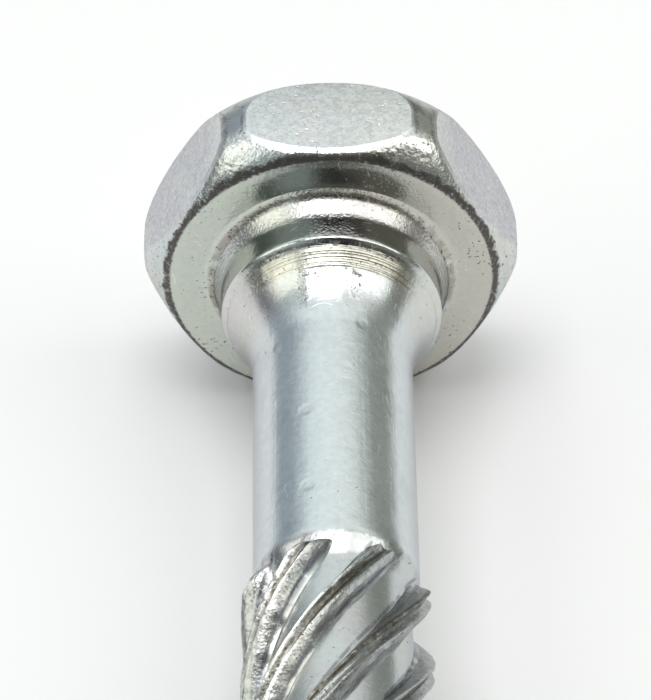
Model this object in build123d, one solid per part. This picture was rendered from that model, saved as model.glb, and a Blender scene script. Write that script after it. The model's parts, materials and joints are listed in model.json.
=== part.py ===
"""Hex head lag screw for timber, forged and rolled from one piece of steel.

The screw is built upright first: its axis is Z, the bearing face under the head lies on Z = 0,
the head is above it and the point below. At the end it is laid down as it rests on a table,
head towards +Y, on one flat of the head and on the crest of the thread.
All sizes are in millimetres.
"""

from build123d import *
from math import atan, cos, degrees, pi, radians, sin, tan
import os

# Head: a round barrel with six flats pressed into it. The barrel's share says how far its corners
# reach from the flats (0) to the corners of a sharp hexagon (1); the insets are measured from a flat.
# The crown rounds the barrel into the top face, and the shoulder rounds it into the bearing chamfer.
HEAD_ACROSS_FLATS = 13.0
HEAD_BARREL_SHARE = 0.7
HEAD_HEIGHT = 4.25
HEAD_TOP_FACE_INSET = 0.6
HEAD_CROWN_HEIGHT = 1.9
BEARING_FACE_INSET = 0.28
BEARING_CHAMFER_ANGLE = 45.0
BEARING_CHAMFER_RISE = 0.6
CHAMFER_BULGE = 0.02
HEAD_SHOULDER_RISE = 1.6

# Collar under the head, a little wider than the thread so that it centres the screw in a drilled
# plate, and its flare into the shank
COLLAR_OVER_THREAD = 0.4
COLLAR_LENGTH = 2.05
COLLAR_FILLET_WIDTH = 0.6
COLLAR_FILLET_LENGTH = 0.65
COLLAR_FILLET_HOLLOW = 0.08
COLLAR_LIP_DEPTH = 0.12
COLLAR_LIP_LENGTH = 0.15
FLARE_LENGTH = 3.0

# The screw under the head is made of four stretches: plain shank, ribs, short neck and wood thread
PLAIN_SHANK_LENGTH = 15.5
RIB_ZONE_LENGTH = 12.0
NECK_LENGTH = 2.5
THREAD_LENGTH = 50.0
SHANK_DIAMETER = 6.0

# Steep reamer ribs, rolled into the shank, right-handed like the thread
RIB_COUNT = 7
RIB_LEAD = 26.0
RIB_HEIGHT = 0.62
RIB_LAND_DEPTH = 0.2
RIB_BASE_WIDTH = 1.9
RIB_CREST_WIDTH = 0.9
RIB_FIRST_ANGLE = 14.0
RIB_START_RISE = 0.35
RIB_RUN_IN = 0.08
RIB_RUN_OUT = 0.15
SHANK_STEP_LENGTH = 0.8

# Wood thread, right-handed, on a core that ends in a point
THREAD_DIAMETER = 8.0
THREAD_HEIGHT = 1.35
THREAD_PITCH = 5.2
THREAD_BASE_WIDTH = 1.35
THREAD_FIRST_ANGLE = 60.0
THREAD_RUN_IN_TURNS = 0.75
POINT_LENGTH = 8.5
POINT_END_DIAMETER = 0.5
POINT_THREAD_HEIGHT = 0.3
POINT_BARE_LENGTH = 0.5

# How deep a ridge is sunk into the metal that carries it, and points of its curves for each turn
RIDGE_ROOT_DEPTH = 0.35
POINTS_PER_TURN = 14
RIB_POINTS = 9

HEAD_FLAT_RADIUS = HEAD_ACROSS_FLATS / 2
SHARP_CORNER_RADIUS = HEAD_FLAT_RADIUS / cos(radians(30))
BARREL_RADIUS = HEAD_FLAT_RADIUS + HEAD_BARREL_SHARE * (SHARP_CORNER_RADIUS - HEAD_FLAT_RADIUS)
HEAD_TOP_RADIUS = HEAD_FLAT_RADIUS - HEAD_TOP_FACE_INSET
BEARING_RADIUS = HEAD_FLAT_RADIUS - BEARING_FACE_INSET
CREST_RADIUS = THREAD_DIAMETER / 2
CORE_RADIUS = CREST_RADIUS - THREAD_HEIGHT
COLLAR_RADIUS = (THREAD_DIAMETER + COLLAR_OVER_THREAD) / 2
SHANK_RADIUS = SHANK_DIAMETER / 2
LAND_RADIUS = SHANK_RADIUS - RIB_LAND_DEPTH
RIB_END = PLAIN_SHANK_LENGTH + RIB_ZONE_LENGTH
THREAD_START = RIB_END + NECK_LENGTH
SCREW_LENGTH = THREAD_START + THREAD_LENGTH
POINT_START = SCREW_LENGTH - POINT_LENGTH
FLARE_START = COLLAR_LENGTH + COLLAR_LIP_LENGTH
BEARING_CHAMFER_SLOPE = tan(radians(BEARING_CHAMFER_ANGLE))


def turned_body():
    """The surface of revolution: head barrel, collar, flare, shank, rib land, core and point."""
    flare_rise = COLLAR_RADIUS - COLLAR_LIP_DEPTH - SHANK_RADIUS
    flare_radius = (FLARE_LENGTH**2 + flare_rise**2) / (2 * flare_rise)
    crown_inset = BARREL_RADIUS - HEAD_TOP_RADIUS
    crown_start = (BARREL_RADIUS, HEAD_HEIGHT - HEAD_CROWN_HEIGHT)
    shoulder_start = (BARREL_RADIUS, HEAD_SHOULDER_RISE)
    chamfer_start = (BEARING_RADIUS + BEARING_CHAMFER_RISE / BEARING_CHAMFER_SLOPE, BEARING_CHAMFER_RISE)
    chamfer_end = (BEARING_RADIUS, 0)
    # The seam of the revolve lies on +Y, along the middle of the flat that the screw rests on.
    with BuildSketch(Plane.YZ) as half:
        with BuildLine():
            Polyline((0, -SCREW_LENGTH), (0, HEAD_HEIGHT), (HEAD_TOP_RADIUS, HEAD_HEIGHT))
            EllipticalCenterArc(
                (HEAD_TOP_RADIUS, HEAD_HEIGHT - HEAD_CROWN_HEIGHT),
                crown_inset,
                HEAD_CROWN_HEIGHT,
                start_angle=0,
                arc_size=90,
            )
            Line(crown_start, shoulder_start)
            TangentArc(shoulder_start, chamfer_start, tangent=(0, -1))
            SagittaArc(chamfer_start, chamfer_end, CHAMFER_BULGE)
            Line(chamfer_end, (COLLAR_RADIUS + COLLAR_FILLET_WIDTH, 0))
            SagittaArc(
                (COLLAR_RADIUS + COLLAR_FILLET_WIDTH, 0),
                (COLLAR_RADIUS, -COLLAR_FILLET_LENGTH),
                COLLAR_FILLET_HOLLOW,
            )
            Polyline(
                (COLLAR_RADIUS, -COLLAR_FILLET_LENGTH),
                (COLLAR_RADIUS, -COLLAR_LENGTH),
                (COLLAR_RADIUS - COLLAR_LIP_DEPTH, -FLARE_START),
            )
            RadiusArc(
                (COLLAR_RADIUS - COLLAR_LIP_DEPTH, -FLARE_START),
                (SHANK_RADIUS, -FLARE_START - FLARE_LENGTH),
                flare_radius,
            )
            Polyline(
                (SHANK_RADIUS, -FLARE_START - FLARE_LENGTH),
                (SHANK_RADIUS, -PLAIN_SHANK_LENGTH),
                (LAND_RADIUS, -PLAIN_SHANK_LENGTH - SHANK_STEP_LENGTH),
                (LAND_RADIUS, -RIB_END),
                (CORE_RADIUS, -THREAD_START),
                (CORE_RADIUS, -POINT_START),
                (POINT_END_DIAMETER / 2, -SCREW_LENGTH),
                (0, -SCREW_LENGTH),
            )
        make_face()
    return revolve(half.sketch, Axis.Z)


def hexagon_round_the_head():
    """A hexagonal prism as wide as the head's flats, which leaves everything under the head whole."""
    hexagon = RegularPolygon(HEAD_FLAT_RADIUS, 6, major_radius=False)
    return Pos(0, 0, -SCREW_LENGTH) * extrude(hexagon, SCREW_LENGTH + HEAD_HEIGHT)


def helical_ridge(sections):
    """A solid ridge through a row of sections, each given by its corners: root, crest, root."""
    # The same parameter at each section keeps the four long edges in step along the whole ridge.
    steps = [float(i) for i in range(len(sections))]
    corner_rows = zip(*sections)
    rails = [Edge.make_spline(list(row), parameters=steps) for row in corner_rows]
    faces = [Face.make_surface_from_curves(a, b) for a, b in zip(rails, rails[1:] + rails[:1])]
    for corners in (sections[0], sections[-1]):
        faces.append(Face(Wire.make_polygon(corners, close=True)))
    ridge = Solid(Shell(faces))
    return ridge if ridge.volume > 0 else Solid(ridge.wrapped.Reversed())


def at(radius, angle, height):
    """A point given by its radius and angle round the screw's axis and its height along it."""
    return (radius * cos(angle), radius * sin(angle), height)


def core_radius_at(depth):
    """Radius of the threaded core at a depth below the bearing face."""
    share = max(0.0, (depth - POINT_START) / POINT_LENGTH)
    return CORE_RADIUS + (POINT_END_DIAMETER / 2 - CORE_RADIUS) * share


def thread_height_at(depth):
    """How far the thread stands out of the core: it grows at its start and shrinks along the point."""
    grown = min(1.0, (depth - THREAD_START) / THREAD_PITCH / THREAD_RUN_IN_TURNS)
    along_point = max(0.0, (depth - POINT_START) / POINT_LENGTH)
    height = THREAD_HEIGHT + (POINT_THREAD_HEIGHT - THREAD_HEIGHT) * along_point
    return height * grown - RIDGE_ROOT_DEPTH / 2 * (1 - grown)


def thread_angle_at(depth):
    """Where round the axis the thread is at a depth: right-handed, so it turns back on the way down."""
    return radians(THREAD_FIRST_ANGLE) - 2 * pi * (depth - THREAD_START) / THREAD_PITCH


def thread_section(depth):
    """The three corners of the sharp thread in a half-plane through the axis."""
    angle = thread_angle_at(depth)
    core = core_radius_at(depth)
    root = core - min(RIDGE_ROOT_DEPTH, 0.6 * core)
    crest = core + thread_height_at(depth)
    share = (crest - root) / (THREAD_HEIGHT + RIDGE_ROOT_DEPTH)
    half_base = THREAD_BASE_WIDTH / 2 * share
    return [
        at(root, angle, -depth - half_base),
        at(crest, angle, -depth),
        at(root, angle, -depth + half_base),
    ]


def wood_thread():
    """The coarse thread, as ridges of a turn or less that each begin where the last one ends."""
    length = THREAD_LENGTH - POINT_BARE_LENGTH
    last = round(length / THREAD_PITCH * POINTS_PER_TURN)
    sections = [thread_section(THREAD_START + length * i / last) for i in range(last + 1)]
    cuts = list(range(0, last, POINTS_PER_TURN)) + [last]
    return [helical_ridge(sections[a : b + 1]) for a, b in zip(cuts, cuts[1:])]


def reamer_rib():
    """One steep flat-topped rib, with a blunt start towards the head and a gentle run-out."""
    root = LAND_RADIUS - RIDGE_ROOT_DEPTH
    half_base = RIB_BASE_WIDTH / 2 / LAND_RADIUS
    half_crest = RIB_CREST_WIDTH / 2 / (LAND_RADIUS + RIB_HEIGHT)
    sections = []
    for i in range(RIB_POINTS):
        share = i / (RIB_POINTS - 1)
        rise = min(1.0, RIB_START_RISE + share / RIB_RUN_IN, 0.1 + (1 - share) / RIB_RUN_OUT)
        crest = LAND_RADIUS + RIB_HEIGHT * rise
        height = -PLAIN_SHANK_LENGTH - RIB_ZONE_LENGTH * share
        angle = 2 * pi * height / RIB_LEAD
        sections.append([
            at(root, angle - half_base, height),
            at(crest, angle - half_crest, height),
            at(crest, angle + half_crest, height),
            at(root, angle + half_base, height),
        ])
    return helical_ridge(sections)


def screw_upright():
    """The whole screw, with its axis on Z and the bearing face on Z = 0."""
    body = turned_body() & hexagon_round_the_head()
    rib = reamer_rib()
    ribs = [Rot(0, 0, RIB_FIRST_ANGLE + i * 360 / RIB_COUNT) * rib for i in range(RIB_COUNT)]
    return body.fuse(*wood_thread(), *ribs)


def flat_front_depth():
    """How far behind the bearing face the front edge of a flat lies, at the middle of the flat."""
    return (HEAD_FLAT_RADIUS - BEARING_RADIUS) * BEARING_CHAMFER_SLOPE


def resting_tilt():
    """Slope of the axis, in degrees, when the screw lies on a flat of its head and on its thread.

    The upright screw's +Y side is the one that ends up underneath.
    """
    steps = round(THREAD_LENGTH / THREAD_PITCH * 360)
    slopes = []
    for i in range(steps):
        depth = THREAD_START + THREAD_LENGTH * i / steps
        crest = core_radius_at(depth) + thread_height_at(depth)
        below_axis = crest * sin(thread_angle_at(depth))
        slopes.append((HEAD_FLAT_RADIUS - below_axis) / (depth + flat_front_depth()))
    return degrees(atan(min(slopes)))


def laid_down(upright):
    """The screw at rest: head towards +Y, origin under the middle of its length, on the plane Z = 0."""
    resting = Rot(resting_tilt(), 0, 0) * Rot(-90, 0, 0) * upright
    box = resting.bounding_box()
    return Pos(0, -(box.min.Y + box.max.Y) / 2, -box.min.Z) * resting


if __name__ == "__main__":
    os.makedirs("parts", exist_ok=True)
    export_step(laid_down(screw_upright()), "parts/lag_screw.step")
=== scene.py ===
"""A zinc-plated hex head lag screw, lying on a white table and seen from its point side.

The screw is modelled upright in millimetres, with its axis on Z and the bearing face under the
head on Z = 0, and is then laid down where the CAD solid lies.
"""

import bpy
import json
from functools import reduce
from math import acos, atan2, cos, degrees, pi, radians, sin, sqrt
from types import SimpleNamespace

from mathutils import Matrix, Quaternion, Vector


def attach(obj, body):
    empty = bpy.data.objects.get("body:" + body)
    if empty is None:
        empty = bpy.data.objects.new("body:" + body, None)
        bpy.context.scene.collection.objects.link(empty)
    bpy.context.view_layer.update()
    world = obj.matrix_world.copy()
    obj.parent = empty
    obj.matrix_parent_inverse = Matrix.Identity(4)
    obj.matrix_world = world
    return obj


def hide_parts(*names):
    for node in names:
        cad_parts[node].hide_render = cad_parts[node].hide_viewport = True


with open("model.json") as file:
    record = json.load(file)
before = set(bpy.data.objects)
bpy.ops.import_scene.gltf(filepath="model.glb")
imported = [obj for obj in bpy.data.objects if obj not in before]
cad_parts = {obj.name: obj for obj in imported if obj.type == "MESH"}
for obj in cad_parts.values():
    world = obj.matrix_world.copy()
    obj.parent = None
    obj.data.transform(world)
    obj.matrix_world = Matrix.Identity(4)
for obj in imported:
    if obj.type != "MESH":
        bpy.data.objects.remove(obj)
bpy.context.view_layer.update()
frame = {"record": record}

MM = 0.001

# Where the screw lies: the middle of its bearing face, and the direction of its point
UNDER_HEAD = next(m for m in frame["record"]["mounts"] if m["name"] == "under_head")
BEARING_CENTRE = Vector(UNDER_HEAD["pos_m"])
TO_POINT = Vector(UNDER_HEAD["axis"])
LAYING_TURN = atan2(TO_POINT.y, -TO_POINT.z)

# Sizes of the screw in millimetres, the same as in the solid
FLAT_RADIUS = 6.5
BARREL_RADIUS = 7.2037
HEAD_HEIGHT = 4.25
HEAD_TOP_RADIUS = 5.9
CROWN_HEIGHT = 1.9
SHOULDER_RISE = 1.6
CHAMFER_RADIUS = 6.82
CHAMFER_RISE = 0.6
BEARING_RADIUS = 6.22
COLLAR_RADIUS = 4.2
LIP_DEPTH = 0.12
FLARE_START = 2.2
FLARE_END = 5.2
SHANK_RADIUS = 3.0
RIB_START = 15.5
RIB_END = 27.5
RIB_LEAD = 26.0
RIB_COUNT = 7
RIB_FIRST_ANGLE = 14.0
LAND_RADIUS = 2.8
THREAD_START = 30.0
THREAD_END = 79.5
THREAD_PITCH = 5.2
THREAD_FIRST_ANGLE = 60.0
THREAD_RUN_IN = 3.9
CREST_RADIUS = 4.0
CORE_RADIUS = 2.65
POINT_START = 71.5
POINT_RADIUS = 0.25
POINT_THREAD_HEIGHT = 0.3
SCREW_LENGTH = 80.0

ROUND_STEPS = 240
# Upright directions square to the six flats
FLAT_DIRECTIONS = [Vector((sin(radians(a)), cos(radians(a)), 0)) for a in range(0, 360, 60)]
# The front edge of a flat: how far up it is rolled over, over what height that fades, and how softly
FRONT_EDGE_TOP = 1.6
FRONT_EDGE_FADE = 0.9
FRONT_EDGE_SOFTNESS = 0.34
# Width of the soft edge round a flat
FLAT_EDGE = 0.1
# The step from the shank down to the land under the ribs: distance along the axis, and fall
LAND_STEP = [
    (0.08, 0.015), (0.2, 0.055), (0.4, 0.125), (0.6, 0.197), (0.8, 0.268), (0.95, 0.313), (1.1, 0.335),
    (1.3, 0.34), (2.5, 0.32), (4.5, 0.26), (7.5, 0.21), (10.5, 0.2), (12.0, 0.2),
]


def deselect_all():
    """Leave nothing selected, so that the next operator acts on the new piece only."""
    if bpy.context.object and bpy.context.object.mode == "EDIT":
        bpy.ops.object.mode_set(mode="OBJECT")
    bpy.ops.object.select_all(action="DESELECT")


def pick(piece):
    """Make one piece the only selected and active object."""
    deselect_all()
    piece.select_set(True)
    bpy.context.view_layer.objects.active = piece


def apply_modifiers(piece):
    """Apply all modifiers of a piece, in their order."""
    pick(piece)
    for name in [m.name for m in piece.modifiers]:
        bpy.ops.object.modifier_apply(modifier=name)


def turned(name, stations):
    """A closed round bar: a filled circle, extruded and resized to each (radius, height) in turn."""
    deselect_all()
    radius, height = stations[0]
    bpy.ops.mesh.primitive_circle_add(
        vertices=ROUND_STEPS, radius=radius * MM, fill_type="NGON", location=(0, 0, height * MM)
    )
    bar = bpy.context.object
    bar.name = name
    bpy.ops.object.transform_apply(location=True, rotation=True, scale=True)
    bpy.ops.object.mode_set(mode="EDIT")
    bpy.ops.mesh.select_all(action="SELECT")
    for next_radius, next_height in stations[1:]:
        bpy.ops.mesh.extrude_region_move(
            TRANSFORM_OT_translate={"value": (0, 0, (next_height - height) * MM)}
        )
        grow = next_radius / radius
        bpy.ops.transform.resize(value=(grow, grow, 1), center_override=(0, 0, 0))
        radius, height = next_radius, next_height
    bpy.ops.mesh.select_all(action="SELECT")
    bpy.ops.mesh.normals_make_consistent(inside=False)
    bpy.ops.object.mode_set(mode="OBJECT")
    return bar


def round_edge(centre, radius, start, end, count):
    """Points of an arc round a centre (radius, height), between two angles in degrees."""
    points = []
    for i in range(count + 1):
        a = radians(start + (end - start) * i / count)
        points.append((centre[0] + radius * cos(a), centre[1] + radius * sin(a)))
    return points


def arc_radius(inset, rise):
    """Radius of an arc that leaves the barrel straight along it and ends inset and rise further on."""
    return (inset**2 + rise**2) / (2 * inset)


def head_profile():
    """The head from its top face down to the bearing face, as (radius, height) pairs."""
    shoulder = arc_radius(BARREL_RADIUS - CHAMFER_RADIUS, SHOULDER_RISE - CHAMFER_RISE)
    shoulder_end = degrees(acos(1 - (BARREL_RADIUS - CHAMFER_RADIUS) / shoulder))
    points = [(2.0, HEAD_HEIGHT), (HEAD_TOP_RADIUS - 0.5, HEAD_HEIGHT)]
    for i in range(19):
        a = radians(90 - 5 * i)
        points.append((
            HEAD_TOP_RADIUS + (BARREL_RADIUS - HEAD_TOP_RADIUS) * cos(a),
            HEAD_HEIGHT - CROWN_HEIGHT * (1 - sin(a)),
        ))
    points += [(BARREL_RADIUS, 2.1), (BARREL_RADIUS, 1.85)]
    points += round_edge((BARREL_RADIUS - shoulder, SHOULDER_RISE), shoulder, 0, -shoulder_end, 12)
    points += [(6.74, 0.5), (6.65, 0.39), (6.55, 0.285), (6.45, 0.195), (6.36, 0.125)]
    points += [(6.29, 0.075), (6.24, 0.038), (BEARING_RADIUS - 0.02, 0.012), (BEARING_RADIUS - 0.08, 0.0)]
    return points


def collar_profile():
    """The bearing face, its fillet, the collar with its lip, and the flare into the shank."""
    points = [(5.8, 0.0), (5.3, 0.0), (4.98, 0.0)]
    points += [(4.87, -0.004), (4.78, -0.02), (4.68, -0.055), (4.59, -0.105), (4.52, -0.17), (4.47, -0.25)]
    points += [(4.38, -0.42), (4.3, -0.59), (4.255, -0.69), (4.22, -0.78), (4.205, -0.86)]
    points += [(COLLAR_RADIUS, -z) for z in (0.95, 1.2, 1.5, 1.75, 1.9)]
    points += [(4.195, -1.97), (4.18, -2.01), (4.15, -2.045), (4.07, -2.12), (4.0, -2.18), (3.965, -2.23)]
    length = FLARE_END - FLARE_START
    rise = COLLAR_RADIUS - LIP_DEPTH - SHANK_RADIUS
    arc = arc_radius(rise, length)
    for i in range(3, 61):
        along = length * i / 60
        radius = SHANK_RADIUS + arc - sqrt(arc**2 - (length - along) ** 2)
        points.append((radius, -FLARE_START - along))
    return points


def core_radius_at(depth):
    """Radius of the threaded core at a depth below the bearing face."""
    share = max(0.0, (depth - POINT_START) / (SCREW_LENGTH - POINT_START))
    return CORE_RADIUS + (POINT_RADIUS - CORE_RADIUS) * share


def shank_profile():
    """The plain shank, the land under the ribs, the neck and the threaded core down to the point."""
    points = [(SHANK_RADIUS, -z) for z in (6.5, 8.0, 9.5, 11.0, 12.5, 14.0, 15.0, 15.4)]
    points += [(SHANK_RADIUS - fall, -RIB_START - along) for along, fall in LAND_STEP]
    points += [(CORE_RADIUS + 0.06, -28.5), (CORE_RADIUS + 0.01, -29.5)]
    points += [(CORE_RADIUS, -30.0 - 4 * i) for i in range(10)] + [(CORE_RADIUS, -71.3)]
    point_length = SCREW_LENGTH - POINT_START
    for i in range(1, 11):
        depth = POINT_START + point_length * i / 10
        points.append((core_radius_at(depth), -depth))
    return points


def roll_over_front(piece):
    """Round the head over towards each flat's front edge, most where the chamfer meets the flat."""
    limit = FLAT_RADIUS + 0.03
    for vertex in piece.data.vertices:
        height = vertex.co.z / MM
        if 0.05 < height < FRONT_EDGE_TOP:
            soft = FRONT_EDGE_SOFTNESS * min(1.0, (FRONT_EDGE_TOP - height) / FRONT_EDGE_FADE) + 0.01
            for direction in FLAT_DIRECTIONS:
                reach = vertex.co.dot(direction) / MM
                share = min(1.0, max(0.0, 0.5 + 0.5 * (limit - reach) / soft))
                pressed = limit + (reach - limit) * share - soft * share * (1 - share)
                vertex.co += direction * min(0.0, pressed - reach) * MM


def press_flats(piece):
    """Six flats cut into the barrel by planes, each with a soft edge round it."""
    for direction in FLAT_DIRECTIONS:
        pick(piece)
        bpy.ops.object.mode_set(mode="EDIT")
        bpy.ops.mesh.select_all(action="SELECT")
        bpy.ops.mesh.bisect(
            plane_co=direction * FLAT_RADIUS * MM, plane_no=direction, use_fill=True,
            clear_outer=True, clear_inner=False, threshold=1e-7,
        )
        bpy.ops.object.mode_set(mode="OBJECT")
    for direction in FLAT_DIRECTIONS:
        pick(piece)
        for part in (piece.data.polygons, piece.data.edges, piece.data.vertices):
            part.foreach_set("select", [False] * len(part))
        for polygon in piece.data.polygons:
            level = polygon.center.dot(direction) - FLAT_RADIUS * MM
            polygon.select = polygon.normal.dot(direction) > 0.9999 and abs(level) < 1e-6
        bpy.ops.object.mode_set(mode="EDIT")
        bpy.ops.mesh.select_mode(type="FACE")
        bpy.ops.mesh.region_to_loop()
        bpy.ops.mesh.bevel(offset=FLAT_EDGE * MM, segments=3, profile=0.5, clamp_overlap=True)
        bpy.ops.mesh.select_mode(type="VERT")
        bpy.ops.object.mode_set(mode="OBJECT")


def swept(name, section, turns, fall, steps):
    """A strip through the points of a section, swept right-handed down the screw's axis."""
    deselect_all()
    x, y, z = section[0]
    bpy.ops.mesh.primitive_plane_add(size=1 * MM)
    strip = bpy.context.object
    strip.name = name
    bpy.ops.object.mode_set(mode="EDIT")
    bpy.ops.mesh.select_all(action="SELECT")
    bpy.ops.mesh.merge(type="CENTER")
    bpy.ops.transform.translate(value=(x * MM, y * MM, z * MM))
    for nx, ny, nz in section[1:]:
        bpy.ops.mesh.extrude_region_move(
            TRANSFORM_OT_translate={"value": ((nx - x) * MM, (ny - y) * MM, (nz - z) * MM)}
        )
        x, y, z = nx, ny, nz
    bpy.ops.object.mode_set(mode="OBJECT")
    sweep = strip.modifiers.new("sweep", "SCREW")
    sweep.axis = "Z"
    sweep.angle = -2 * pi * turns
    sweep.screw_offset = -fall * MM
    sweep.steps = sweep.render_steps = steps
    sweep.use_merge_vertices = False
    apply_modifiers(strip)
    return strip


def reshape(ridge, count, steps, fall, at_share):
    """Let a swept ridge grow and fade along its length.

    at_share gives, at a share of the length, the new radius of the ridge's foot, the foot's radius
    as swept, and the shares of the full height and of the full width.
    """
    for vertex in ridge.data.vertices:
        # The sweep lays its points out section by section.
        step = vertex.index // count
        middle = -fall * step / steps
        foot, swept_foot, tall, wide = at_share(step / steps)
        radius = sqrt(vertex.co.x**2 + vertex.co.y**2) / MM
        grown = foot + (radius - swept_foot) * tall
        vertex.co.x *= grown / radius
        vertex.co.y *= grown / radius
        vertex.co.z = (middle + (vertex.co.z / MM - middle) * wide) * MM


def close_ridge(piece, count):
    """Bridge the two long open edges of a swept ridge, fill its ends, and point its faces outwards."""
    pick(piece)
    mesh = piece.data
    for part in (mesh.polygons, mesh.edges, mesh.vertices):
        part.foreach_set("select", [False] * len(part))
    mesh.edges.foreach_set("select", [
        e.vertices[0] % count == e.vertices[1] % count and e.vertices[0] % count in (0, count - 1)
        for e in mesh.edges
    ])
    bpy.ops.object.mode_set(mode="EDIT")
    bpy.ops.mesh.select_mode(type="EDGE")
    bpy.ops.mesh.bridge_edge_loops()
    bpy.ops.mesh.select_mode(type="VERT")
    bpy.ops.mesh.select_all(action="DESELECT")
    bpy.ops.mesh.select_non_manifold()
    bpy.ops.mesh.fill_holes(sides=0)
    bpy.ops.mesh.select_all(action="SELECT")
    bpy.ops.mesh.normals_make_consistent(inside=False)
    bpy.ops.object.mode_set(mode="OBJECT")


def turn_copy(piece, angle):
    """A copy of a ridge with its own mesh, turned round the screw's axis."""
    pick(piece)
    bpy.ops.object.duplicate(linked=False)
    copy = bpy.context.object
    copy.rotation_euler = (0, 0, angle)
    bpy.ops.object.transform_apply(location=True, rotation=True, scale=True)
    return copy


# A rib's section at one height: radius and angle, from its left foot over two crests and a furrow
RIB_SECTION = [
    (2.60, -16.0), (2.78, -12.6), (2.90, -10.8), (3.12, -9.2), (3.33, -7.6), (3.43, -5.9), (3.40, -4.3),
    (3.26, -2.6), (3.19, -0.6), (3.22, 1.2), (3.33, 2.9), (3.38, 4.6), (3.31, 6.6), (3.12, 8.9),
    (2.92, 11.0), (2.78, 13.0), (2.60, 16.0),
]
# How far the rolling has set each rib off its even place, in degrees
RIB_DRIFT = (0.0, 0.0, 0.5, 1.0, 4.5, 2.0, 0.0)
# Distances along a rib: to its late start, over its blunt run-in, and over its run-out
RIB_LATE_START = 0.35
RIB_RUN_IN = 0.75
RIB_RUN_OUT = 2.5


def reamer_ribs():
    """Seven steep ribs with blunt starts."""
    length = RIB_END - RIB_START
    steps = 120
    section = [(r * cos(radians(a)), r * sin(radians(a)), 0.0) for r, a in RIB_SECTION]
    rib = swept("rib", section, length / RIB_LEAD, length, steps)

    def growth(share):
        along = share * length
        rise = min(1.0, max(0.02, (along - RIB_LATE_START) / RIB_RUN_IN))
        fall = min(1.0, (length - along) / RIB_RUN_OUT)
        return LAND_RADIUS, LAND_RADIUS, sin(pi / 2 * rise) * (0.05 + 0.95 * fall), 1.0

    reshape(rib, len(section), steps, length, growth)
    close_ridge(rib, len(section))
    rib.location = (0, 0, -RIB_START * MM)
    rib.rotation_euler = (0, 0, radians(RIB_FIRST_ANGLE - 360 * RIB_START / RIB_LEAD))
    pick(rib)
    bpy.ops.object.transform_apply(location=True, rotation=True, scale=True)
    ribs = [rib]
    for i in range(1, RIB_COUNT):
        ribs.append(turn_copy(rib, 2 * pi * i / RIB_COUNT + radians(RIB_DRIFT[i])))
    for rib in ribs:
        for name, size, height in (("rolled_waves", 0.9, 0.1), ("rolled_grit", 0.35, 0.02)):
            clouds = bpy.data.textures.new(name, "CLOUDS")
            clouds.noise_scale = size * MM
            ruffle = rib.modifiers.new(name, "DISPLACE")
            ruffle.texture = clouds
            ruffle.strength = height * MM
            ruffle.mid_level = 0.5
        apply_modifiers(rib)
    return ribs


# The thread's section in a half-plane through the axis: radius and height, over its crest
THREAD_SECTION = [
    (2.35, 0.86), (2.62, 0.70), (2.70, 0.58), (2.86, 0.46), (3.25, 0.32), (3.65, 0.2), (3.93, 0.12),
    (4.0, 0.06), (4.0, -0.06), (3.93, -0.12), (3.65, -0.2), (3.25, -0.32), (2.86, -0.46), (2.70, -0.58),
    (2.62, -0.70), (2.35, -0.86),
]
THREAD_STEPS_PER_TURN = 72
# How far the thread's foot is sunk into the core at its start
THREAD_SUNK_START = 0.15


def wood_thread():
    """The coarse thread, growing in at its start and shrinking along the point."""
    length = THREAD_END - THREAD_START
    turns = length / THREAD_PITCH
    steps = round(turns * THREAD_STEPS_PER_TURN)
    section = [(r, 0.0, z) for r, z in THREAD_SECTION]
    thread = swept("thread", section, turns, length, steps)
    full = CREST_RADIUS - CORE_RADIUS

    def growth(share):
        depth = THREAD_START + share * length
        grown = min(1.0, share * length / THREAD_RUN_IN)
        along_point = max(0.0, (depth - POINT_START) / (SCREW_LENGTH - POINT_START))
        tall = grown * (1 + (POINT_THREAD_HEIGHT / full - 1) * along_point)
        foot = core_radius_at(depth) - THREAD_SUNK_START * (1 - grown)
        return foot, CORE_RADIUS, tall, min(1.0, 0.3 + 0.7 * tall)

    reshape(thread, len(section), steps, length, growth)
    close_ridge(thread, len(section))
    thread.location = (0, 0, -THREAD_START * MM)
    thread.rotation_euler = (0, 0, radians(THREAD_FIRST_ANGLE))
    pick(thread)
    bpy.ops.object.transform_apply(location=True, rotation=True, scale=True)
    return thread


screw = turned("forged_screw", head_profile() + collar_profile() + shank_profile())
roll_over_front(screw)
press_flats(screw)
ridges = reamer_ribs() + [wood_thread()]
pick(screw)
for ridge in ridges:
    ridge.select_set(True)
bpy.ops.object.join()
screw.rotation_euler = (LAYING_TURN, 0, 0)
screw.location = BEARING_CENTRE
bpy.ops.object.transform_apply(location=True, rotation=True, scale=True)
bpy.ops.object.shade_smooth_by_angle(angle=radians(40))

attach(screw, "root")
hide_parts("lag_screw")

# White table
deselect_all()
bpy.ops.mesh.primitive_plane_add(size=6.0, location=(0, 0, 0))
table = bpy.context.object
table.name = "table"

# Camera
AIM = BEARING_CENTRE + TO_POINT * 0.00378 + Vector((-0.00026, 0, 0))
ELEVATION = radians(43.4)
DISTANCE = 0.1625
ROLL = radians(-0.9)
FOCAL_LENGTH = 221.5
camera_data = bpy.data.cameras.new("camera")
camera = bpy.data.objects.new("camera", camera_data)
bpy.context.scene.collection.objects.link(camera)
camera.location = AIM + DISTANCE * Vector((0, -cos(ELEVATION), sin(ELEVATION)))
look = (AIM - camera.location).to_track_quat("-Z", "Y")
camera.rotation_mode = "QUATERNION"
camera.rotation_quaternion = look @ Quaternion((0, 0, 1), ROLL)
camera_data.lens = FOCAL_LENGTH
camera_data.clip_start = 0.01
camera_data.clip_end = 20
bpy.context.scene.camera = camera


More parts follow.
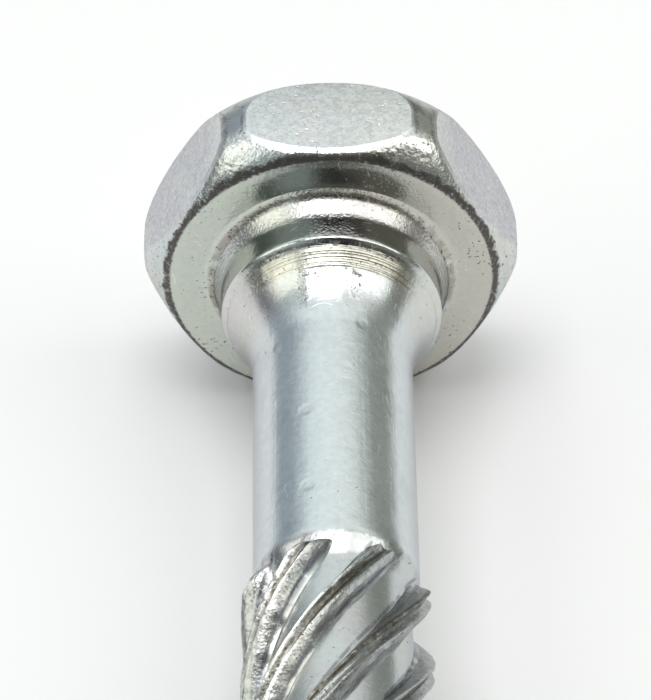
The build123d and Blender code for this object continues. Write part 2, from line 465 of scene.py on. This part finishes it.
class Nodes:
    """Short ways to add and join shader nodes in one node tree."""

    def __init__(self, tree):
        self.tree = tree

    def add(self, kind, **settings):
        node = self.tree.nodes.new(kind)
        for name, value in settings.items():
            setattr(node, name, value)
        return node

    def join(self, source, target):
        self.tree.links.new(source, target)

    def split(self, vector):
        node = self.add("ShaderNodeSeparateXYZ")
        self.join(vector, node.inputs[0])
        return node.outputs

    def vector(self, operation, a, b=None):
        node = self.add("ShaderNodeVectorMath", operation=operation)
        self.join(a, node.inputs[0])
        if b is not None:
            node.inputs[1].default_value = b
        return node.outputs

    def scaled(self, vector, factors):
        return self.vector("MULTIPLY", vector, factors)[0]

    def shifted(self, vector, offset):
        return self.vector("ADD", vector, offset)[0]

    def dot(self, vector, other):
        return self.vector("DOT_PRODUCT", vector, other)["Value"]

    def length(self, vector):
        return self.vector("LENGTH", vector)["Value"]

    def noise(self, vector, scale, detail):
        node = self.add("ShaderNodeTexNoise")
        self.join(vector, node.inputs["Vector"])
        node.inputs["Scale"].default_value = scale
        node.inputs["Detail"].default_value = detail
        return node.outputs[0]

    def pushed(self, vector, scale, strength):
        """The vector pushed about a little, so that a pattern on it isn't regular."""
        node = self.add("ShaderNodeTexNoise")
        self.join(vector, node.inputs["Vector"])
        node.inputs["Scale"].default_value = scale
        push = self.add("ShaderNodeVectorMath", operation="MULTIPLY_ADD")
        self.join(node.outputs["Color"], push.inputs[0])
        push.inputs[1].default_value = (strength, strength, strength)
        self.join(vector, push.inputs[2])
        return push.outputs[0]

    def voronoi(self, vector, scale):
        node = self.add("ShaderNodeTexVoronoi")
        self.join(vector, node.inputs["Vector"])
        node.inputs["Scale"].default_value = scale
        return node.outputs["Distance"]

    def math(self, operation, a, b=0.0):
        node = self.add("ShaderNodeMath", operation=operation)
        for socket, value in zip(node.inputs, (a, b)):
            if isinstance(value, (int, float)):
                socket.default_value = value
            else:
                self.join(value, socket)
        return node.outputs[0]

    def plus(self, *values):
        return reduce(lambda a, b: self.math("ADD", a, b), values)

    def times(self, *values):
        return reduce(lambda a, b: self.math("MULTIPLY", a, b), values)

    def ease(self, value, low, high, start=0.0, end=1.0):
        """Go softly from start to end while value goes from low to high."""
        node = self.add("ShaderNodeMapRange", interpolation_type="SMOOTHSTEP")
        self.join(value, node.inputs["Value"])
        for name, number in (("From Min", low), ("From Max", high), ("To Min", start), ("To Max", end)):
            node.inputs[name].default_value = number
        return node.outputs["Result"]

    def band(self, value, start, full, last, end):
        """1 from full to last, fading out to start and end."""
        return self.times(self.ease(value, start, full), self.ease(value, last, end, 1.0, 0.0))

    def mix(self, factor, a, b):
        node = self.add("ShaderNodeMix", data_type="RGBA")
        # A colour mix has its own factor and colour sockets, after those of the other data types.
        for socket, value in zip((node.inputs[0], node.inputs[6], node.inputs[7]), (factor, a, b)):
            if isinstance(value, (int, float)):
                socket.default_value = value
            elif isinstance(value, tuple):
                socket.default_value = (*value, 1.0)
            else:
                self.join(value, socket)
        return node.outputs[2]


def room():
    """The room as a light tent: a bright ceiling and two bright sides with dark seams between them,
    a pale back wall, and a dim front with the lens in it."""
    world = bpy.data.worlds.new("room")
    bpy.context.scene.world = world
    world.use_nodes = True
    world.node_tree.nodes.clear()
    n = Nodes(world.node_tree)
    direction = n.add("ShaderNodeTexCoord").outputs["Generated"]
    x, y, z = n.split(direction)
    lean = n.math("DIVIDE", x, n.math("MAXIMUM", z, 0.02))

    def panel(lean_range, depth_range):
        """1 inside a patch of the tent, given by its four lean limits and its four depth limits."""
        return n.times(n.band(lean, *lean_range), n.band(y, *depth_range), n.ease(z, 0.05, 0.12))

    # back wall, darker towards the table, bluish at the left and greenish at the right
    to_right = n.ease(x, -0.35, 0.35)
    left_wall = n.mix(n.ease(z, 0.36, 0.72), (0.34, 0.385, 0.425), (1.0, 1.06, 1.06))
    right_wall = n.mix(n.ease(z, 0.42, 0.78), (0.29, 0.31, 0.28), (1.02, 1.06, 1.03))
    wall = n.mix(to_right, left_wall, right_wall)
    # dim front
    front_left = n.mix(n.ease(z, 0.15, 0.5), (0.1, 0.12, 0.125), (0.36, 0.41, 0.43))
    front_left = n.mix(n.ease(z, 0.7, 0.82), front_left, (0.08, 0.09, 0.1))
    front = n.mix(n.ease(x, -0.2, 0.1), front_left, (0.2, 0.2, 0.17))
    tent = n.mix(n.ease(y, 0.2, 0.42), front, wall)
    ceiling = panel((-0.47, -0.4, 0.21, 0.28), (-0.38, -0.26, 0.1, 0.32))
    left_side = panel((-3.1, -1.9, -0.72, -0.64), (-0.6, -0.48, 0.03, 0.24))
    right_side = panel((0.32, 0.4, 1.7, 2.5), (-0.4, -0.3, 0.14, 0.34))
    tent = n.mix(ceiling, tent, (4.7, 4.72, 4.72))
    tent = n.mix(left_side, tent, (1.6, 1.62, 1.5))
    tent = n.mix(right_side, tent, (1.85, 1.85, 1.78))
    lens = n.ease(n.dot(direction, (0.09, -0.724, 0.684)), 0.93, 0.965)
    final = n.mix(lens, tent, (0.01, 0.01, 0.012))
    back = n.add("ShaderNodeBackground")
    n.join(final, back.inputs["Color"])
    n.join(back.outputs[0], n.add("ShaderNodeOutputWorld").inputs["Surface"])


def white_table():
    """White paper, which the camera and the metal see as plain white but for the screw's shadow."""
    paper = bpy.data.materials.new("white_table")
    paper.use_nodes = True
    shader = paper.node_tree.nodes["Principled BSDF"]
    shader.inputs["Base Color"].default_value = (0.86, 0.855, 0.86, 1)
    shader.inputs["Roughness"].default_value = 0.9
    shader.inputs["Specular IOR Level"].default_value = 0.1
    shader.inputs["Emission Color"].default_value = (1, 1, 1, 1)
    n = Nodes(paper.node_tree)
    ray = n.add("ShaderNodeLightPath").outputs
    mirrored = n.math("MAXIMUM", ray["Is Glossy Ray"], ray["Is Transmission Ray"])
    seen = n.math("MAXIMUM", ray["Is Camera Ray"], mirrored)
    n.join(n.times(seen, 0.04), shader.inputs["Emission Strength"])
    return paper


def upright_place(n):
    """The place on the upright screw, in millimetres."""
    node = n.add("ShaderNodeMapping", vector_type="TEXTURE")
    n.join(n.add("ShaderNodeTexCoord").outputs["Object"], node.inputs["Vector"])
    node.inputs["Location"].default_value = BEARING_CENTRE
    node.inputs["Rotation"].default_value = (LAYING_TURN, 0, 0)
    node.inputs["Scale"].default_value = (MM, MM, MM)
    return node.outputs[0]


def unwound_place(n, place):
    """The place with the ribs unwound to straight lines along the screw."""
    z = n.split(place)[2]
    node = n.add("ShaderNodeVectorRotate", rotation_type="Z_AXIS")
    n.join(place, node.inputs["Vector"])
    n.join(n.times(z, -2 * pi / RIB_LEAD), node.inputs["Angle"])
    return node.outputs[0]


def zones_of(n, place, straight, wander):
    """Masks of the screw's zones, 1 inside and 0 outside; wander makes some of their edges uneven."""
    x, _, z = n.split(place)
    radius = n.length(n.scaled(place, (1, 1, 0)))
    zone = SimpleNamespace()

    # the head
    reaches = [n.math("ABSOLUTE", n.dot(place, direction)) for direction in FLAT_DIRECTIONS[:3]]
    flat_reach = reduce(lambda a, b: n.math("MAXIMUM", a, b), reaches)
    zone.pressed = n.times(n.ease(flat_reach, 6.4, 6.48), n.ease(z, -0.02, 0.03))
    # painted shade: the four flats turned to the sides, which get a darker colour than the top flat
    zone.side_flats = n.times(zone.pressed, n.ease(n.math("ABSOLUTE", x), 4.2, 4.8))
    zone.forged = n.times(n.ease(flat_reach, 6.4, 6.48, 1.0, 0.0), n.ease(radius, 6.1, 6.3))
    zone.shoulder = n.times(zone.forged, n.ease(z, 1.3, 2.1, 1.0, 0.0))
    zone.outline = n.times(n.band(flat_reach, 6.33, 6.4, 6.43, 6.49), n.ease(z, 1.0, 1.5))
    rim_height = n.plus(z, n.times(n.plus(wander, -0.5), 0.36))
    zone.rim = n.times(
        n.ease(rim_height, 0.12, 0.28, 1.0, 0.0), n.ease(radius, 6.12, 6.24), n.ease(z, -0.3, -0.1)
    )
    zone.rim_middle = n.times(zone.rim, n.band(x, -3.2, -2.4, 2.4, 3.2))
    zone.bearing = n.times(n.band(z, -0.06, -0.02, 0.01, 0.03), n.ease(radius, 6.2, 6.28, 1.0, 0.0))

    # the fillet, the collar and the flare
    zone.fillet = n.band(z, -1.0, -0.8, -0.02, 0.0)
    zone.brown = n.times(
        n.band(radius, 4.44, 4.5, 4.66, 4.8), n.band(z, -0.4, -0.22, 0.0, 0.02), n.ease(wander, 0.25, 0.6)
    )
    zone.collar = n.band(z, -2.1, -1.95, -0.85, -0.7)
    zone.worn = n.times(zone.collar, n.band(x, -1.0, -0.6, 0.7, 1.2))
    middle = n.band(x, -3.3, -2.5, 2.5, 3.3)
    zone.turned = n.times(n.band(z, -3.0, -2.8, -2.28, -2.18), middle)
    zone.turned_sides = n.times(zone.turned, n.ease(n.math("ABSOLUTE", n.plus(x, 0.3)), 1.0, 2.2))
    zone.under_lip = n.times(n.band(z, -2.36, -2.26, -2.14, -2.06), middle)
    two_lines = n.plus(n.band(x, -1.5, -1.15, -0.95, -0.7), n.band(x, 0.6, 0.8, 1.0, 1.3))
    zone.streaky = n.times(n.band(z, -4.6, -4.0, -3.0, -2.7), two_lines)

    # the shank, and the rolled part with its ribs; off_rib is 0 on a rib's middle
    zone.smooth = n.ease(z, -15.6, -15.0)
    zone.shank = n.band(z, -15.7, -15.5, -5.2, -3.2)
    rolled = n.band(z, -28.5, -27.5, -15.9, -15.5)
    zone.land = n.times(rolled, n.ease(radius, 2.86, 2.98, 1.0, 0.0))
    zone.rib = n.times(rolled, n.ease(radius, 2.84, 3.0))
    sx, sy, _ = n.split(straight)
    ribs_round = n.times(n.math("ARCTAN2", sy, sx), RIB_COUNT / (2 * pi))
    off_rib = n.plus(n.math("FRACT", n.plus(ribs_round, 0.5 - RIB_FIRST_ANGLE * RIB_COUNT / 360)), -0.5)
    # the furrow between a rib's two crests, into which the colour paints shade
    zone.furrow = n.times(zone.rib, n.band(off_rib, -0.07, -0.045, 0.02, 0.05))
    # the feet of the ribs, where they meet the land, into which the colour paints shade
    zone.foot = n.times(rolled, n.band(n.math("ABSOLUTE", off_rib), 0.18, 0.21, 0.24, 0.28))
    return zone


def marks_of(n, place, straight, zone):
    """What forging, turning, rolling and handling left, each as a pattern from 0 to 1."""
    mark = SimpleNamespace()
    mark.grain = n.noise(place, 9.0, 3)
    mark.mottle = n.noise(place, 4.2, 3)
    mark.waves = n.noise(place, 1.4, 2)
    mark.rings = n.noise(n.scaled(place, (0.1, 0.1, 13.0)), 1.0, 2)
    mark.streaks = n.noise(n.scaled(place, (3.5, 3.5, 0.1)), 1.0, 3)
    mark.rib_streaks = n.noise(n.scaled(straight, (3.2, 3.2, 0.5)), 1.0, 3)
    scratch = 0.0
    for stretch, offset in (((0.2, 1.8, 1.5), 0), ((1.8, 0.8, 0.2), 30), ((0.5, 0.5, 1.3), 70)):
        scored = n.noise(n.scaled(n.shifted(place, (offset, 0, 0)), stretch), 1.0, 2)
        some = n.ease(n.noise(n.shifted(place, (0, offset, 0)), 0.9, 1), 0.6, 0.68)
        scratch = n.plus(scratch, n.times(n.band(scored, 0.493, 0.499, 0.501, 0.507), some))
    mark.scratch = n.times(scratch, zone.smooth)
    mark.dent = n.ease(n.voronoi(place, 0.55), 0.08, 0.2, 1.0, 0.0)
    # small dents, mostly on the flats; in the colour they are painted plain white as glints
    mark.chip = n.times(
        n.ease(n.voronoi(n.pushed(place, 2.0, 0.3), 3.9), 0.08, 0.24, 1.0, 0.0),
        n.ease(n.noise(place, 1.3, 2), 0.46, 0.54), n.plus(0.1, n.times(zone.pressed, 0.7)),
    )
    # dark pits: few on plain surfaces, many at the rim, on the shoulders and beside the ribs
    roughly = n.ease(n.noise(place, 0.5, 2), 0.45, 0.7)
    share = n.plus(
        n.times(zone.rim, 0.22), n.times(zone.rim_middle, 0.08), n.times(zone.shoulder, 0.04),
        n.times(zone.outline, 0.1), n.times(zone.pressed, -0.03), n.times(zone.bearing, roughly, 0.07),
        n.times(zone.brown, 0.07), n.times(zone.under_lip, 0.1), n.times(zone.turned, 0.03),
        n.times(zone.streaky, 0.1), n.times(zone.shank, -0.04), n.times(zone.rib, 0.03),
        n.times(zone.furrow, 0.02),
    )
    mark.pitted = n.ease(n.plus(n.noise(place, 7.5, 4), share), 0.66, 0.74)
    return mark


def height_of(n, zone, mark):
    """Height of the surface's relief in millimetres."""
    return n.plus(
        n.times(mark.grain, 0.005), n.times(mark.waves, 0.014),
        n.times(mark.mottle, zone.pressed, 0.006), n.times(mark.chip, zone.pressed, -0.012),
        n.times(mark.mottle, zone.shoulder, 0.035), n.times(mark.grain, zone.fillet, 0.014),
        n.times(mark.rings, zone.collar, 0.0012), n.times(mark.grain, zone.worn, 0.018),
        n.times(mark.rings, zone.turned, 0.028), n.times(mark.mottle, zone.streaky, 0.02),
        n.times(mark.streaks, zone.shank, 0.007), n.times(mark.dent, zone.shank, -0.012),
        n.times(mark.mottle, zone.rib, 0.007), n.times(mark.rib_streaks, zone.rib, 0.034),
        n.times(mark.grain, zone.rib, 0.012), n.times(mark.scratch, -0.002), n.times(mark.pitted, -0.006),
    )


def colour_of(n, place, zone, mark, wander):
    """Colour of the metal, laid on zone by zone as (share, colour) over a tint from cool to warm."""
    x, _, z = n.split(place)
    warmth = n.ease(n.noise(place, 0.16, 1), 0.4, 0.6)
    tint = n.mix(warmth, (0.62, 0.67, 0.675), (0.66, 0.67, 0.62))
    # painted reflection: the bearing face is tinted yellow-green, lighter at the left and darker and
    # browner at the right, for the table mirrored in it
    bearing_painted_reflection = n.mix(n.ease(x, -3.0, 3.0), (0.59, 0.63, 0.55), (0.55, 0.53, 0.47))
    fine = n.noise(n.shifted(place, (0, 0, 25)), 8.0, 6)
    rosy = n.ease(n.noise(n.shifted(place, (40, 0, 0)), 0.3, 1), 0.5, 0.68)
    clouded = n.ease(n.noise(place, 0.55, 3), 0.5, 0.75)
    bluish = n.ease(n.noise(n.scaled(place, (1.0, 1.0, 0.35)), 1.6, 2), 0.45, 0.6)
    yellowish = n.ease(n.noise(n.shifted(place, (9, 0, 0)), 0.9, 2), 0.5, 0.65)
    blotchy = n.ease(mark.mottle, 0.4, 0.62)
    layers = [
        (n.times(rosy, 0.6), (0.65, 0.61, 0.64)),
        (n.times(zone.pressed, 0.55), (0.88, 0.89, 0.885)),
        # painted shade: the four flats turned to the sides are darker and lilac, as the shadowed table
        # mirrored in them
        (n.times(zone.side_flats, 0.85), (0.63, 0.64, 0.68)),
        # painted reflection on the bearing face
        (n.times(zone.bearing, 0.85), bearing_painted_reflection),
        (zone.shank, (0.71, 0.76, 0.77)),
        (n.times(zone.shank, clouded, 0.4), (0.5, 0.54, 0.54)),
        (n.times(zone.brown, 0.75), (0.27, 0.24, 0.19)),
        (n.times(zone.shoulder, n.ease(z, 0.5, 0.9), 0.5), (0.85, 0.86, 0.84)),
        (n.times(zone.rim, n.ease(mark.mottle, 0.2, 0.45), 0.92), (0.1, 0.095, 0.1)),
        (n.times(zone.rib, 0.5), (0.46, 0.47, 0.45)),
        (n.times(zone.outline, n.ease(wander, 0.4, 0.55), 0.5), (0.25, 0.25, 0.26)),
        (n.times(zone.forged, n.ease(z, 1.8, 2.6), n.ease(wander, 0.5, 0.62), 0.6), (0.3, 0.31, 0.3)),
        (n.times(zone.under_lip, n.ease(mark.mottle, 0.3, 0.5), 0.8), (0.2, 0.19, 0.18)),
        (n.times(zone.turned_sides, n.ease(mark.mottle, 0.35, 0.6), 0.7), (0.28, 0.26, 0.22)),
        (n.times(zone.turned, n.ease(mark.rings, 0.4, 0.6), 0.6), (0.76, 0.71, 0.57)),
        (n.times(zone.turned, n.ease(mark.rings, 0.38, 0.5, 1.0, 0.0), 0.65), (0.25, 0.23, 0.2)),
        # painted shade: the furrow between a rib's two crests is darkened nearly to black, streaked along
        # the rib
        (n.times(zone.furrow, n.ease(mark.rib_streaks, 0.25, 0.45), 0.9), (0.11, 0.1, 0.075)),
        (n.times(zone.land, 0.3), (0.5, 0.52, 0.49)),
        # painted shade: the feet of the ribs, where they meet the land, are darkened bluish in patches
        (n.times(zone.foot, n.ease(wander, 0.35, 0.5), 0.75), (0.2, 0.2, 0.23)),
        (n.times(zone.rib, n.ease(mark.mottle, 0.45, 0.6), 0.5), (0.3, 0.31, 0.29)),
        (n.times(blotchy, n.plus(0.12, n.times(zone.pressed, 0.2))), (0.38, 0.39, 0.4)),
        (n.times(zone.pressed, bluish, 0.3), (0.66, 0.72, 0.73)),
        (n.times(zone.pressed, yellowish, 0.3), (0.8, 0.76, 0.7)),
        (n.times(zone.pressed, n.ease(fine, 0.48, 0.72), 0.42), (0.42, 0.43, 0.44)),
        (n.times(zone.pressed, n.ease(fine, 0.34, 0.48, 1.0, 0.0), 0.5), (0.86, 0.87, 0.87)),
        # painted highlight: the small dents are painted white as glints
        (mark.chip, (1.0, 1.0, 1.0)),
        (n.times(mark.scratch, 0.45), (0.9, 0.9, 0.9)),
        (n.times(mark.pitted, 0.8), (0.1, 0.09, 0.08)),
    ]
    for share, colour in layers:
        tint = n.mix(share, tint, colour)
    return tint


def zinc_plating():
    """Bright blue-passivated zinc on forged steel: uneven tint, grain, hammered shoulders, turning
    marks under the collar, drawn streaks on the shank, and dark pits where the forging is rough."""
    zinc = bpy.data.materials.new("zinc_plating")
    zinc.use_nodes = True
    shader = zinc.node_tree.nodes["Principled BSDF"]
    shader.inputs["Metallic"].default_value = 1.0
    # Dulls the mirroring near grazing, which a plain metal would keep bright.
    shader.inputs["Specular Tint"].default_value = (0.72, 0.71, 0.73, 1)
    n = Nodes(zinc.node_tree)
    place = upright_place(n)
    straight = unwound_place(n, place)
    wander = n.noise(place, 1.8, 3)
    zone = zones_of(n, place, straight, wander)
    mark = marks_of(n, place, straight, zone)
    bump = n.add("ShaderNodeBump")
    bump.inputs["Distance"].default_value = MM
    n.join(height_of(n, zone, mark), bump.inputs["Height"])
    n.join(bump.outputs[0], shader.inputs["Normal"])
    n.join(colour_of(n, place, zone, mark, wander), shader.inputs["Base Color"])
    roughness = n.plus(
        0.19, n.times(n.noise(place, 0.7, 2), 0.1), n.times(zone.pressed, 0.1),
        n.times(zone.bearing, -0.1), n.times(zone.collar, -0.12), n.times(zone.rib, 0.04),
        n.times(mark.pitted, 0.2),
    )
    n.join(roughness, shader.inputs["Roughness"])
    return zinc


screw.data.materials.clear()
screw.data.materials.append(zinc_plating())
table.data.materials.append(white_table())
room()

bpy.context.scene.view_settings.view_transform = "Standard"
